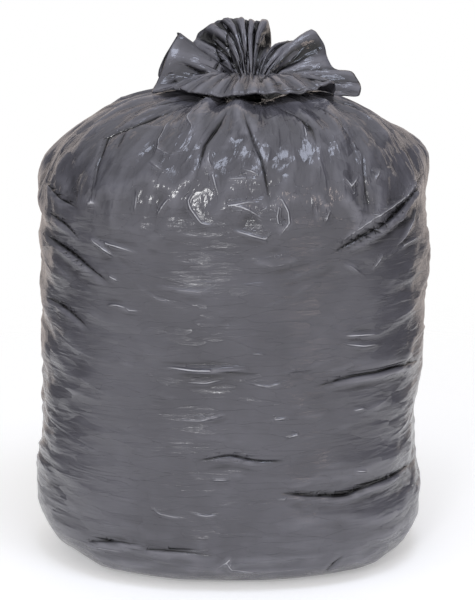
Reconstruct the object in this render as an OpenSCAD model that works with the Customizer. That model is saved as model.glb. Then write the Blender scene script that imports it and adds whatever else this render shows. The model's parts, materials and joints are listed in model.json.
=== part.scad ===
// Full bin bag, standing on its base, with its neck gathered by a wire tie.
// The film and what fills it are one closed solid. Above the tie the film opens into a loose, fluted mouth.
// +X is to the right, +Y to the back and +Z up. Angles run from +X to +Y, so the front is at 270 degrees.

/* [Body] */
// Width of the filled body, from side to side
body_w = 470; // [380:1:570]
// Depth of the filled body, from front to back
body_d = 436; // [350:1:530]
// How square the body is in plan, where 2 is an ellipse
squareness = 2.3; // [2:0.05:3]
// Radius of the rounded bottom edge
edge_r = 62; // [50:1:90]
// Height at which the side turns in to the shoulder
side_h = 440; // [350:1:540]
// Rise of the shoulder, from the side to its flat top
shoulder_h = 122; // [100:1:160]
// Size of the largest corner that the contents push out
lump_d = 24; // [16:1:30]

/* [Neck] */
// Radius of the gathered film inside the tie
neck_r = 12; // [9:0.5:15]
// Distance of the neck to the right of the body's middle
neck_x = 22; // [0:1:30]
// Height of the tie above the shoulder's flat top
neck_rise = 2; // [0:1:8]
// Depth of the dimple that the gathered neck pulls into the shoulder's top
dimple = 9; // [6:1:12]
// Gathers around the neck and the mouth
gathers = 30; // [24:1:36]
// Depth of the flutes in the neck
flute_d = 1.6; // [1:0.1:2.2]
// Depth of the small gathers around the neck, on the shoulder
gather_d = 2; // [1:0.5:3]
// Gathered film that shows below the tie and above it
neck_film = 3; // [2:0.5:4]

/* [Mouth] */
// Length of loose film from the tie to the hem
free_l = 120; // [95:1:150]
// Height that the film climbs from the neck before it folds outwards
mouth_arch = 36; // [28:1:44]
// Thickness of the loose film, drawn thicker than the real film
film_t = 1.2; // [0.9:0.1:1.6]
// Depth of the flutes in the mouth, at their deepest
mouth_flute_d = 6.5; // [4:0.5:8]

/* [Folds] */
// Depth of the pleats laid over on the shoulder
pleat_d = 13; // [9:0.5:16]
// Width of a pleat's slow side, in degrees
pleat_w = 14; // [12:1:18]
// Depth of the deepest tuck round the body
tuck_d = 12; // [8:0.5:15]
// Height that a tuck takes up on each side of its line
tuck_h = 32; // [26:1:40]

/* [Tie] */
// Height of the flat wire tie
tie_w = 4; // [3:0.5:5]
// Thickness of the tie
tie_t = 1.2; // [0.9:0.1:1.6]
// Gap between the tie and the film's outermost gathers
tie_gap = 0.3; // [0.2:0.05:0.4]
// Length of the twisted tails
tail_l = 26; // [20:1:32]

/* [Hidden] */

columns = 90;                        // points around each ring of the body
mouth_columns = 2 * columns;         // and around each ring of the mouth
tie_z = side_h + shoulder_h + neck_rise;
mouth_z = tie_z + tie_w / 2 + neck_film;
collar_z = tie_z - tie_w / 2 - neck_film;
collar_flare = 1.5;                  // how much wider the neck is there than inside the tie
throat_rise = 2;                     // height at which the throat's pleats close, above the neck
dimple_r = 42;                       // distance over which the shoulder's top sinks to the neck
fillet_r = 9;                        // distance over which it then turns up into the neck
pleat_fall = 360 / columns;          // degrees over which a laid pleat falls away at its edge: one column
crease_a = 2;                        // degrees over which the mouth's creases are rounded
tail_pitch = 9;                      // length of one turn of the twisted tails
tail_a = 100;                        // the tails stand out at the back, at this angle,
tail_lean = 72;                      // and lean this far from upright

// The hem of the mouth, station by station:
// [angle, elevation from the neck, share of free_l, share of mouth_arch]
hem = [
    [0, 6, 1.13, 0.5], [7, 12, 1.06, 0.5], [14, 13, 0.9, 0.5], [27, 42, 0.98, 0.25],
    [35, 31, 0.84, 0.5], [48, 38, 0.82, 0.9], [60, 36, 0.74, 0.9], [67, 27, 0.6, 0.9],
    [73, 45, 0.97, 1], [88, 52, 0.88, 1], [103, 54, 0.9, 1], [118, 51, 0.93, 1],
    [130, 43, 0.95, 0.9], [141, 28, 0.92, 0.5], [152, 10, 0.94, 0.3], [164, 5, 1.02, 0.1],
    [172, 20, 0.98, 0], [180, 44, 0.96, 0], [187, 22, 0.95, 0.2], [192, 8, 0.98, 0.5],
    [198, 0, 1.1, 0.6], [206, 4, 0.97, 1.1], [215, 5, 0.94, 1.2], [240, 3, 0.88, 1.3], [270, 4, 0.88, 1.3], [300, 4, 0.94, 1.2],
    [324, 9, 1.06, 0.9], [338, 0, 0.9, 0.6], [348, -1, 1.13, 0.5], [354, 2, 1.15, 0.5],
    [360, 6, 1.13, 0.5]
];

// Pleats laid over on the shoulder: [angle at the shoulder's edge, swirl towards the neck, reach, depth, side]
pleats = [
    [12, 6, 0.85, 0.7, 1], [32, -6, 0.95, 0.8, -1], [52, 5, 0.80, 0.7, 1], [72, 8, 0.98, 1, 1],
    [92, -4, 0.85, 0.7, -1], [112, -8, 0.95, 0.9, -1], [132, 6, 0.80, 0.6, 1], [152, 4, 0.98, 0.9, 1],
    [176, -5, 0.88, 0.6, -1], [196, -16, 0.92, 0.8, -1], [212, -24, 1.00, 1, -1], [232, -24, 0.80, 0.6, 1],
    [260, -24, 0.94, 0.9, 1], [280, -22, 0.97, 0.8, 1], [296, 10, 0.70, 0.5, -1], [308, 30, 0.86, 1, 1],
    [332, 18, 0.92, 0.8, 1], [352, 8, 0.90, 0.7, -1]
];

// Tucks round the body: [start angle, start height, end angle, end height, share of tuck_d].
// Heights and rises, here and in the lumps, are shares of side_h.
tucks = [
    [360, 1.08, 290, 0.93, 1.0], [360, 0.30, 262, 0.26, 0.8], [352, 0.585, 288, 0.56, 0.6],
    [282, 0.64, 236, 0.64, 0.4], [296, 0.385, 242, 0.365, 0.35], [262, 0.13, 214, 0.15, 0.45],
    [216, 0.92, 176, 1.00, 0.6], [224, 0.78, 178, 0.88, 0.5], [222, 0.64, 180, 0.72, 0.45],
    [80, 0.92, 24, 0.98, 0.6], [178, 0.80, 124, 0.92, 0.6], [80, 0.66, 14, 0.69, 0.4],
    [156, 0.45, 88, 0.41, 0.5], [124, 0.25, 54, 0.28, 0.5], [64, 0.14, 6, 0.16, 0.4]
];

// Corners and lumps that the contents push out, and hollows:
// [angle, height, share of lump_d, spread in degrees, rise]
lumps = [
    [181, 1.07, 0.42, 16, 0.08], [2, 1.11, 0.75, 20, 0.1], [350, 0.33, -0.54, 50, 0.25],
    [358, 0.82, 0.21, 24, 0.18], [352, 0.2, 0.25, 22, 0.08], [262, 0.75, 0.21, 32, 0.23],
    [95, 0.7, 0.29, 30, 0.23], [140, 0.33, 0.25, 30, 0.18], [60, 0.95, 0.33, 24, 0.14],
    [215, 0.3, 0.21, 30, 0.2], [300, 0.8, -0.17, 20, 0.14], [120, 0.98, -0.21, 20, 0.11],
    [238, 0.5, 0.17, 26, 0.16], [292, 0.48, 0.17, 22, 0.16], [40, 0.4, 0.25, 24, 0.18],
    [232, 1.06, 0.21, 20, 0.14], [187, 0.18, 0.4, 34, 0.2], [14, 1.23, -0.6, 34, 0.09]
];

function span(a, b) = abs(a - b) > 180 ? a - b - 360 * sign(a - b) : a - b;
function ease(x) = let (c = min(1, max(0, x))) c * c * (3 - 2 * c);
function sum(v, i = 0) = i == len(v) ? 0 : v[i] + sum(v, i + 1);

// Value at angle a from pairs of angle and value, carried on round the full turn
function value_at(a, table) =
    lookup(a, [for (turn = [-360, 0, 360]) each [for (t = table) [t[0] + turn, t[1]]]]);

// Radius of the body in plan
function plan_r(a) =
    1 / pow(
        pow(abs(cos(a)) / (body_w / 2), squareness) + pow(abs(sin(a)) / (body_d / 2), squareness),
        1 / squareness
    );

// One lump or hollow, as a soft cone
function lump(a, z, l) =
    lump_d * l[2] * ease(1 - norm([span(a, l[0]) / l[3], (z / side_h - l[1]) / l[4]]));

// One tuck: the film bulges above its line and is drawn in below it, and both fade towards the ends
function tuck(a, z, k) =
    let (
        along = (k[0] - a) / (k[0] - k[2]),
        q = (z - side_h * (k[1] + (k[3] - k[1]) * along)) / tuck_h
    )
    along < 0 || along > 1 || abs(q) > 1
        ? 0
        : tuck_d * k[4] * sin(180 * along) * (1 - abs(q)) * sin(180 * q) * (q < 0 ? 1.6 : 1.1);

function body_relief(a, z) = sum([for (l = lumps) lump(a, z, l)]) + sum([for (k = tucks) tuck(a, z, k)]);

// One pleat laid over on the shoulder: a slow rise and a sharp fall on one side, from the neck out to its reach
function pleat(a, out, p) =
    let (x = p[4] * span(a, p[0]))
    (x < -pleat_w || x >= pleat_fall ? 0 : x < 0 ? pow(1 + x / pleat_w, 1.4) : 1 - x / pleat_fall)
        * pleat_d * p[3] * ease((p[2] - out) / 0.35) * ease(out / 0.3);

// How far the film is swirled at the neck, at angle a of the shoulder's edge
function swirl(a) = value_at(a, [for (p = pleats) [p[0], p[1]]]);

// Gathers of the neck and mouth, unevenly spaced
function flute(a) = cos(gathers * a + 50 * sin(2 * a + 20) + 35 * sin(5 * a));

// How much the mouth stands up as a pleated fan, from 0 at the front to 1 at the back
function fan(a) = ease(0.5 + 0.9 * sin(a));

// Point at angle a of a ring centred at x: r and z in the upright plane, moved d along the outward direction
function ring_point(a, x, r, z, out_r, out_z, d) =
    [x + (r + out_r * d) * cos(a), (r + out_r * d) * sin(a), z + out_z * d];

// Flat underside at a share of its radius
function underside(a, share) = let (r = (plan_r(a) - edge_r) * share) [r * cos(a), r * sin(a), 0];

// Rounded bottom edge, from the floor at 0 to the side at 90 degrees
function bottom_edge(a, t) =
    let (r = plan_r(a) - edge_r * (1 - sin(t)), z = edge_r * (1 - cos(t)))
    ring_point(a, 0, r, z, sin(t), -cos(t), body_relief(a, z) * sin(t));

function side(a, z) = ring_point(a, 0, plan_r(a), z, 1, 0, body_relief(a, z));

// Domed shoulder, from the side at 0 to the neck at 90 degrees, its columns swirled towards the neck
function shoulder(a, t) =
    let (
        out = pow(cos(t), 0.77),
        r = neck_r + (plan_r(a) - neck_r) * out,
        z = side_h + shoulder_h * pow(sin(t), 0.92),
        sink = dimple * exp(-pow((r - neck_r) / dimple_r, 2)),
        turn_up = (collar_z - side_h - shoulder_h + dimple) * exp(-pow((r - neck_r) / fillet_r, 2)),
        gather = gather_d * flute(a) * ease(1.6 - 4 * out) * ease(8 * out),
        d = body_relief(a, z) * ease(out * 1.6) + sum([for (p = pleats) pleat(a, out, p)]) + gather
    )
    ring_point(a + swirl(a) * (1 - out), neck_x * (1 - out), r, z - sink + turn_up, cos(t), sin(t), d);

// Gathered neck
function neck(a, z, r) =
    ring_point(a + swirl(a), neck_x, r - flute_d * (0.5 - 0.5 * flute(a)), z, 1, 0, 0);

// Value of column i of the hem's table at angle a, with the creases rounded
function hem_value(a, i) =
    sum([for (n = [a - crease_a, a, a + crease_a]) value_at(n, [for (h = hem) [h[0], h[i]]])]) / 3;

// The loose film's line from the neck to the hem in the upright plane, at share s, as a bent strip
function bend(a, s) =
    let (
        up = hem_value(a, 1),
        l = free_l * hem_value(a, 2),
        start = [neck_r, 0],
        crown = [neck_r + 0.16 * l * cos(up), mouth_arch * hem_value(a, 3) + 0.42 * l * sin(up)],
        end = [l * cos(up), l * sin(up)],
        at = pow(1 - s, 2) * start + 2 * s * (1 - s) * crown + s * s * end,
        heading = 2 * (1 - s) * (crown - start) + 2 * s * (end - crown)
    )
    [at, [heading[1], -heading[0]] / norm(heading)];

// Middle of the loose film, with its flutes
function film(a, s) =
    let (
        b = bend(a, s),
        crowded = 0.016 * pow(b[0][0], 2) / neck_r,
        depth = min(mouth_flute_d * (0.15 + 0.85 * sin(180 * pow(s, 0.8))), crowded),
        d = flute(a) * (0.3 + 0.7 * fan(a)) * depth
    )
    ring_point(a, neck_x, b[0][0], mouth_z + b[0][1], b[1][0], b[1][1], d);

// One face of the loose film: the outer one on side 1 and the inner one on side -1
function mouth(a, s, side) =
    let (
        across = cross(film(a + 1, s) - film(a - 1, s), film(a, min(1, s + 0.03)) - film(a, max(0, s - 0.03)))
    )
    film(a, s) + side * film_t / 2 * across / norm(across);

angles = [for (i = [0 : columns - 1]) 360 * i / columns];
mouth_angles = [for (i = [0 : mouth_columns - 1]) 360 * i / mouth_columns];
side_steps = 15;
shoulder_steps = [7.5, 15, 22, 30, 38, 46, 54, 61, 68, 74, 79.5, 84, 87];
mouth_steps = [0.08, 0.26, 0.46, 0.66, 0.84, 1];
body_rings = [
    [for (a = angles) underside(a, 0.6)],
    for (t = [0 : 18 : 90]) [for (a = angles) bottom_edge(a, t)],
    for (i = [1 : side_steps]) [for (a = angles) side(a, edge_r + (side_h - edge_r) * i / side_steps)],
    for (t = shoulder_steps) [for (a = angles) shoulder(a, t)],
    [for (a = angles) neck(a, collar_z, neck_r + collar_flare)],
    for (z = [tie_z - tie_w / 2, tie_z + tie_w / 2]) [for (a = angles) neck(a, z, neck_r)]
];
mouth_rings = [
    for (i = [0 : len(mouth_steps) - 1]) [for (a = mouth_angles) mouth(a, mouth_steps[i], 1)],
    for (i = [len(mouth_steps) - 1 : -1 : 0]) [for (a = mouth_angles) mouth(a, mouth_steps[i], -1)]
];

// Index of a point in column i of ring j, in the body and in the mouth
function body_point(i, j) = 1 + j * columns + i % columns;
function mouth_point(i, j) = 1 + len(body_rings) * columns + j * mouth_columns + i % mouth_columns;

module bag() {
    top = len(body_rings) - 1;
    last = len(mouth_rings) - 1;
    hem_ring = len(mouth_steps) - 1;
    points = [
        [0, 0, 0],
        each [for (ring = body_rings) each ring],
        each [for (ring = mouth_rings) each ring],
        [neck_x, 0, mouth_z + throat_rise]
    ];
    faces = [
        for (i = [0 : columns - 1]) [0, body_point(i, 0), body_point(i + 1, 0)],
        for (j = [0 : top - 1], i = [0 : columns - 1]) each [
            [body_point(i, j), body_point(i, j + 1), body_point(i + 1, j + 1)],
            [body_point(i, j), body_point(i + 1, j + 1), body_point(i + 1, j)]
        ],
        for (i = [0 : columns - 1]) each [
            [body_point(i, top), mouth_point(2 * i, 0), mouth_point(2 * i + 1, 0)],
            [body_point(i, top), mouth_point(2 * i + 1, 0), body_point(i + 1, top)],
            [body_point(i + 1, top), mouth_point(2 * i + 1, 0), mouth_point(2 * i + 2, 0)]
        ],
        for (j = [0 : hem_ring], i = [0 : mouth_columns - 1]) each [
            [mouth_point(i, j), mouth_point(i, j + 1), mouth_point(i + 1, j + 1)],
            [mouth_point(i, j), mouth_point(i + 1, j + 1), mouth_point(i + 1, j)]
        ],
        for (j = [hem_ring + 1 : last - 1], i = [0 : mouth_columns - 1]) each [
            [mouth_point(i, j), mouth_point(i, j + 1), mouth_point(i + 1, j)],
            [mouth_point(i + 1, j), mouth_point(i, j + 1), mouth_point(i + 1, j + 1)]
        ],
        for (i = [0 : mouth_columns - 1]) [mouth_point(i, last), len(points) - 1, mouth_point(i + 1, last)]
    ];
    color([0.41, 0.41, 0.43]) polyhedron(points, faces);
}

module neck_tie() {
    inner_r = neck_r + tie_gap;
    color([0.16, 0.16, 0.17]) translate([neck_x, 0, tie_z]) {
        rotate_extrude($fn = 48) translate([inner_r, -tie_w / 2]) square([tie_t, tie_w]);
        rotate([0, 0, tail_a]) translate([inner_r + tie_t / 2, 0, 0]) rotate([0, tail_lean, 0])
            linear_extrude(height = tail_l, twist = 360 * tail_l / tail_pitch, slices = 24)
                square([tie_w / 2, 2 * tie_t], center = true);
    }
}

bag();
neck_tie();
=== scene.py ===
import json
import math
import random

import bmesh
import bpy
import numpy as np
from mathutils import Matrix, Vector, noise
from mathutils.bvhtree import BVHTree

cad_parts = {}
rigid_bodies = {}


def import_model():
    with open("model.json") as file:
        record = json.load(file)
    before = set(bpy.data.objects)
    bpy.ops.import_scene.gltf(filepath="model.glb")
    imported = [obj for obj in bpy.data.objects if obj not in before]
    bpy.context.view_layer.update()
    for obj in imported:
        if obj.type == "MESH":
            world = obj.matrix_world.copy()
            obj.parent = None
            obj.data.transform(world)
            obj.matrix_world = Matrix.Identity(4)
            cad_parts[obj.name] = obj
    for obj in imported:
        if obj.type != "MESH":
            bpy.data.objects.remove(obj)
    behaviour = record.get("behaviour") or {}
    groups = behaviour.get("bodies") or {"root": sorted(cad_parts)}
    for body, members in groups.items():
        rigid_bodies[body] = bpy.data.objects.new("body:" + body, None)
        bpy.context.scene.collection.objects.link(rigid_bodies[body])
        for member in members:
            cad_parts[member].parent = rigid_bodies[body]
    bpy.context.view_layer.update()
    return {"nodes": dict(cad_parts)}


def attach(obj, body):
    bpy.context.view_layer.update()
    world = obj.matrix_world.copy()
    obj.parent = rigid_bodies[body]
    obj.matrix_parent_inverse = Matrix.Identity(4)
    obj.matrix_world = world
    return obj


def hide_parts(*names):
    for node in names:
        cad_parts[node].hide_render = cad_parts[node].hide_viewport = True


# %% [markdown]
# # A full bin bag
# The object is a large refuse bag of thin blown film. It stands on its base, full of loose rubbish, and its
# neck is gathered by a wire tie. Two solids come from the CAD model: the film with what fills it, and the
# tie. Everything here is in metres, in the same frame as those solids, and most sizes are written in
# millimetres.

# %% Load the solids and keep their box
for left_over in list(bpy.data.objects):
    bpy.data.objects.remove(left_over)
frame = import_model()
MM = 0.001

# %% [markdown]
# ## The camera
# It looks at the front of the bag from a little above. The picture shows the top of the bag almost level
# and its base more from above, so the camera is close enough for that, at 2.6 m. The lens then follows from
# the size that the bag has in the picture.

# %% Camera
IMAGE_W, IMAGE_H = 475, 600
CAMERA_ELEVATION = 12
CAMERA_DISTANCE = 2.6
CAMERA_TARGET = Vector((0.0058, 0, 0.3098))
LENS, SENSOR = 124.9, 36

camera = bpy.data.objects.new("camera", bpy.data.cameras.new("camera"))
camera.data.lens, camera.data.sensor_width = LENS, SENSOR
tilt = math.radians(CAMERA_ELEVATION)
backwards = Vector((0, -math.cos(tilt), math.sin(tilt)))
camera.location = CAMERA_TARGET + backwards * CAMERA_DISTANCE
camera.rotation_mode = "QUATERNION"
camera.rotation_quaternion = (-backwards).to_track_quat("-Z", "Y")
bpy.context.scene.collection.objects.link(camera)
bpy.context.scene.camera = camera
print("camera at, mm:", [round(value / MM) for value in camera.location])


# %% The direction in which each pixel looks
def ray_of_pixel(x, y):
    """Direction from the camera through a pixel of the picture."""
    focal = LENS / SENSOR * IMAGE_H
    local = Vector(((x - IMAGE_W / 2) / focal, (IMAGE_H / 2 - y) / focal, -1))
    return (camera.rotation_quaternion.to_matrix() @ local).normalized()


# %% [markdown]
# ## The film as a fine, even mesh
# On the real bag this is one tube of film, so here it is one closed mesh. It could be lofted again from
# rings, but the CAD solid already has the right form. So a copy of it is merged, and its triangles are
# paired into the four-sided faces they came from. Then it is subdivided until a fold a few millimetres wide
# can be modelled. On the side the folds run round the bag, so the rows there are split once more.

# %% A merged copy of the film, with extra rows on the side
SIDE_LOW, SIDE_HIGH = 80 * MM, 440 * MM
SHOULDER_TOP = 562 * MM
NECK_X, NECK_R, TIE_Z, MOUTH_Z = 22 * MM, 12 * MM, 564 * MM, 569 * MM


def runs_up(edge, low, high):
    """True if the edge lies between two heights and runs up rather than round."""
    a, b = (v.co for v in edge.verts)
    steep = abs(a.z - b.z) > 0.9 * (a - b).length
    return steep and low - MM < min(a.z, b.z) and max(a.z, b.z) < high + MM


net = bmesh.new()
net.from_mesh(frame["nodes"]["bag"].data)
bmesh.ops.remove_doubles(net, verts=net.verts, dist=0.001 * MM)
any_angle = {"angle_face_threshold": math.pi, "angle_shape_threshold": math.pi}
bmesh.ops.join_triangles(net, faces=net.faces, **any_angle)
side_edges = [e for e in net.edges if runs_up(e, SIDE_LOW, SIDE_HIGH)]
bmesh.ops.subdivide_edges(net, edges=side_edges, cuts=1, use_grid_fill=True)
film = bpy.data.objects.new("bag_film", bpy.data.meshes.new("bag_film"))
net.to_mesh(film.data)
net.free()
bpy.context.scene.collection.objects.link(film)
print("merged film:", len(film.data.vertices), "vertices,", len(film.data.polygons), "faces")


# %% Smooth it once
def apply_modifiers(piece):
    """Puts what the piece's modifiers make into its mesh."""
    finished = piece.evaluated_get(bpy.context.evaluated_depsgraph_get())
    made = bpy.data.meshes.new_from_object(finished)
    piece.modifiers.clear()
    piece.data = made


smooth = film.modifiers.new("smooth", "SUBSURF")
smooth.levels = smooth.render_levels = 1
apply_modifiers(film)
print("smooth film:", len(film.data.vertices), "vertices")

# %% [markdown]
# The body's faces are then split both ways, except the triangles that meet in the middle of the base. The
# sheet of the mouth needs more points only round the neck, across its pleats, so that the piece stays under
# 200,000 triangles.

# %% Split the body's faces, and the mouth's across its pleats
LOOSE_LOW = MOUTH_Z + 8 * MM


def runs_out(edge):
    """True if the edge runs away from the neck rather than round it."""
    a, b = (v.co - Vector((NECK_X, 0, MOUTH_Z)) for v in edge.verts)
    return abs(a.length - b.length) > 0.5 * (a - b).length


net = bmesh.new()
net.from_mesh(film.data)
poles = {v for v in net.verts if math.hypot(v.co.x, v.co.y) < MM}
body_edges, mouth_edges = [], []
for edge in net.edges:
    low, high = sorted(v.co.z for v in edge.verts)
    if high < SHOULDER_TOP and not poles & set(edge.verts):
        body_edges.append(edge)
    elif low > LOOSE_LOW and not runs_out(edge):
        mouth_edges.append(edge)
bmesh.ops.subdivide_edges(net, edges=body_edges, cuts=1, use_grid_fill=True)
bmesh.ops.subdivide_edges(net, edges=mouth_edges, cuts=1)
net.to_mesh(film.data)
net.free()
triangles = sum(len(p.vertices) - 2 for p in film.data.polygons)
print("fine film:", len(film.data.vertices), "vertices,", triangles, "triangles")

# %% [markdown]
# ## Working on all points at once
# There are about 85,000 vertices, and moving them one by one in Python would take minutes. So their places
# are read into one array, changed there, and written back.


# %% Read and write the mesh as arrays
def numbers(source, key, width):
    """One value of each element of a mesh as an array."""
    flat = np.empty(len(source) * width, np.float32)
    source.foreach_get(key, flat)
    return flat.reshape(-1, width).astype(float)


def places():
    """Each vertex's place."""
    return numbers(film.data.vertices, "co", 3)


def outwards():
    """Each vertex's normal."""
    return numbers(film.data.vertex_normals, "vector", 3)


def move_film(to):
    """Moves each vertex of the film to the place given."""
    film.data.vertices.foreach_set("co", to.astype(np.float32).ravel())
    film.data.update()


def ease(low, high, x):
    """0 below low, 1 above high and smooth between them."""
    t = np.clip((x - low) / (high - low), 0, 1)
    return t * t * (3 - 2 * t)


def evened(values, times):
    """Each vertex's values averaged with its neighbours', so that no line zigzags between vertices."""
    ends = np.array([tuple(edge.vertices) for edge in film.data.edges])
    count = np.bincount(ends.ravel(), minlength=len(values))[:, None]
    for _ in range(times):
        total = np.zeros_like(values)
        for axis in range(values.shape[1]):
            total[:, axis] = np.bincount(ends[:, 0], values[ends[:, 1], axis], len(values))
            total[:, axis] += np.bincount(ends[:, 1], values[ends[:, 0], axis], len(values))
        values = 0.5 * values + 0.5 * total / count
    return values


print("vertices read:", len(places()))

# %% [markdown]
# ## Where each point lay on the flat tube
# Folds follow the film and not the room, so each vertex gets the place it had on the tube before the bag
# was filled and tied: how far round it, and how far along it from the base. The first is kept as a point on
# a circle, so that no pattern has a seam.

# %% How far round the tube and how far along it, on the body
TUBE_R = 235 * MM
SHOULDER_L = 262 * MM
BASE_EDGE = 6 * MM

co = places()
lean = ease(SIDE_HIGH, SHOULDER_TOP, co[:, 2])
around = np.arctan2(co[:, 1], co[:, 0] - NECK_X * lean)
radius = np.hypot(co[:, 1], co[:, 0] - NECK_X * lean)
rise = np.clip(co[:, 2] - SIDE_HIGH, 0, None)
roll = np.arctan2(rise / (SHOULDER_TOP - SIDE_HIGH), radius / TUBE_R)
along = np.minimum(co[:, 2], SIDE_HIGH) + SHOULDER_L * roll / (math.pi / 2)
along -= ease(BASE_EDGE, 0, co[:, 2]) * (TUBE_R - radius)
print("film along the body, mm:", [round(float(end) / MM) for end in (along.min(), along.max())])

# %% [markdown]
# The loose film above the tie needs other coordinates than the shoulder below it, and both lie at the same
# height in places. So the mouth is found by walking from its highest point to neighbouring points, as far
# as the ring of film that the tie holds.

# %% Find the loose mouth, and the ring of film inside the tie
RING_HALF, RING_OUT = 3 * MM, 2 * MM

ring = np.abs(co[:, 2] - TIE_Z) < RING_HALF
ring &= np.hypot(co[:, 0] - NECK_X, co[:, 1]) < NECK_R + RING_OUT
neighbours = [[] for _ in co]
for edge in film.data.edges:
    a, b = edge.vertices
    neighbours[a].append(b)
    neighbours[b].append(a)
loose = np.zeros(len(co), bool)
to_visit = [int(np.argmax(co[:, 2]))]
loose[to_visit] = True
while to_visit:
    for other in neighbours[to_visit.pop()]:
        if not loose[other] and not ring[other]:
            loose[other] = True
            to_visit.append(other)
from_neck = np.linalg.norm(co - np.array([NECK_X, 0, MOUTH_Z]), axis=1)
along[loose] = SIDE_HIGH + SHOULDER_L + from_neck[loose]
around[loose] = np.arctan2(co[loose, 1], co[loose, 0] - NECK_X)
tube = np.stack([TUBE_R * np.cos(around), TUBE_R * np.sin(around), along], axis=1)
body = ~loose & ~ring
print("body", int(body.sum()), "mouth", int(loose.sum()), "ring", int(ring.sum()))

# %% [markdown]
# ## Where wrinkles run
# Film round a heavy load is pulled tight in some places and slack in others. On the side the wrinkles sag
# between the two upper corners like hanging cloth, and on the shoulder they run to the neck. Ridged noise
# on the tube gives such lines, because a crest is where the noise passes zero. The borders of irregular
# cells give the flat panels that meet in creases.


# %% Ridged noise and panels
def noise_at(points, seed):
    """Smooth noise from about -1 to 1 at each point."""
    shift = Vector((seed * 17.3, seed * 5.1, seed * 9.7))
    return np.array([noise.noise(Vector(p) + shift) for p in points])


def ridges(points, seed, sharp):
    """1 on a crest and 0 away from it."""
    return np.clip(1 - np.abs(noise_at(points, seed)) * sharp, 0, 1)


def panels(points):
    """1 along the borders of irregular cells and 0 inside them, so that flat panels meet in creases."""
    gaps = [noise.voronoi(Vector(p))[0] for p in points]
    return np.array([1 - min(1.0, 2.2 * (d[1] - d[0])) for d in gaps])


print("a ridge at the origin is", ridges([(0, 0, 0)], 1, 2)[0].round(2), "high")

# %% Points that follow the film on the side and on the shoulder
SAG = 75 * MM
sag_share = ease(60 * MM, 420 * MM, along)
hung = along - SAG * sag_share * np.cos(around) ** 2
round_m = tube[:, :2]


def side_points(length, height):
    """Points for a pattern that is so long round the bag and so high, and sags like the film."""
    return np.column_stack([round_m / (length * MM), hung / (height * MM)])


def shoulder_points(width, length):
    """Points for a pattern that is so wide round the bag and so long towards the neck."""
    return np.column_stack([round_m / (width * MM), along / (length * MM)])


print("the side sags by up to, mm:", round(float((along - hung).max()) / MM))

# %% How much of each kind of wrinkle each point gets
on_shoulder = ease(SIDE_HIGH - 50 * MM, SIDE_HIGH + 40 * MM, along) * body
on_side = (1 - ease(SIDE_HIGH - 40 * MM, SIDE_HIGH + 50 * MM, along)) * body
off_floor = ease(2 * MM, 14 * MM, co[:, 2])
at_neck = ease(0, 60 * MM, SIDE_HIGH + SHOULDER_L - along)
slack = 0.3 + 0.7 * ease(-0.15, 0.35, noise_at(tube / (110 * MM), 3))
corner = np.cos(around) ** 4
# added to a pattern's points, this bends its lines
bend = noise_at(tube / (60 * MM), 6)[:, None] * 0.35
print("slack, smallest and largest:", slack.min().round(2), slack.max().round(2))

# %% [markdown]
# ## Let the film settle on what fills it
# The large, soft folds of a filled bag come from film that has more length than it needs. Drawn by hand
# they look drawn, so a cloth simulation makes them. The body starts a little too tall, grows by a few per
# cent where it is slack, and is drawn down with its neck over the contents, which are a slightly smaller
# solid. A few low seeds decide where it buckles. No point may move further than the limit, so the result
# stays close to the solid.

# %% The contents that the film lies on
CONTENTS_IN, CONTENTS_DETAIL = 4 * MM, 0.15
smooth_co, smooth_out = places(), outwards()


def body_copy(name, to):
    """The body without the loose mouth, with its vertices at the places given."""
    net = bmesh.new()
    net.from_mesh(film.data)
    net.verts.ensure_lookup_table()
    bmesh.ops.delete(net, geom=[v for v in net.verts if loose[v.index]], context="VERTS")
    piece = bpy.data.objects.new(name, bpy.data.meshes.new(name))
    net.to_mesh(piece.data)
    net.free()
    piece.data.vertices.foreach_set("co", to[~loose].astype(np.float32).ravel())
    bpy.context.scene.collection.objects.link(piece)
    return piece


contents = body_copy("contents", smooth_co - smooth_out * CONTENTS_IN)
fewer = contents.modifiers.new("fewer", "DECIMATE")
fewer.ratio = CONTENTS_DETAIL
apply_modifiers(contents)
contents.modifiers.new("solid", "COLLISION")
contents.collision.thickness_outer = MM
contents.collision.cloth_friction = 8
print("contents:", len(contents.data.polygons), "faces")

# %% The cloth, too tall at first and then drawn down
DROP, DRAWN_BY = 0.055, 5

seeds = on_side * (0.4 + corner) * 3 * ridges(side_points(130, 34) + bend, 1, 2)
seeds += on_shoulder * at_neck * 3 * ridges(shoulder_points(34, 130) + bend, 4, 2)
start = smooth_co + smooth_out * (0.5 * MM + seeds * off_floor * MM)[:, None]
tall = start * np.array([1, 1, 1 + DROP])
cloth_body = body_copy("cloth_body", tall)
cloth_body.shape_key_add(name="tall")
drawn_down = cloth_body.shape_key_add(name="drawn_down")
drawn_down.data.foreach_set("co", start[~loose].astype(np.float32).ravel())
for moment, share in ((1, 0), (DRAWN_BY, 1)):
    drawn_down.value = share
    drawn_down.keyframe_insert("value", frame=moment)
print("drawn down by up to, mm:", round(float((tall - start)[:, 2].max()) / MM))

# %% Where it is held, and where it may grow
HELD_R = 30 * MM
in_neck = np.hypot(start[:, 0] - NECK_X, start[:, 1]) < HELD_R
at_ends = (start[:, 2] < 3 * MM) | ((start[:, 2] > SHOULDER_TOP - 5 * MM) & in_neck)
held = cloth_body.vertex_groups.new(name="held")
held.add(np.flatnonzero(at_ends[~loose]).tolist(), 1.0, "REPLACE")
slackest = cloth_body.vertex_groups.new(name="slackest")
for i, share in enumerate(np.clip(0.1 + 1.1 * corner + 0.7 * on_shoulder, 0, 1)[~loose]):
    slackest.add([i], share, "REPLACE")
print("held points:", int(at_ends[~loose].sum()))

# %% [markdown]
# A thin film hardly stretches and bends easily. A lower bending stiffness would fold it along the rows of
# the mesh, so it is stiffer here than the real film. A negative shrink factor makes the slack parts grow.

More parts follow.
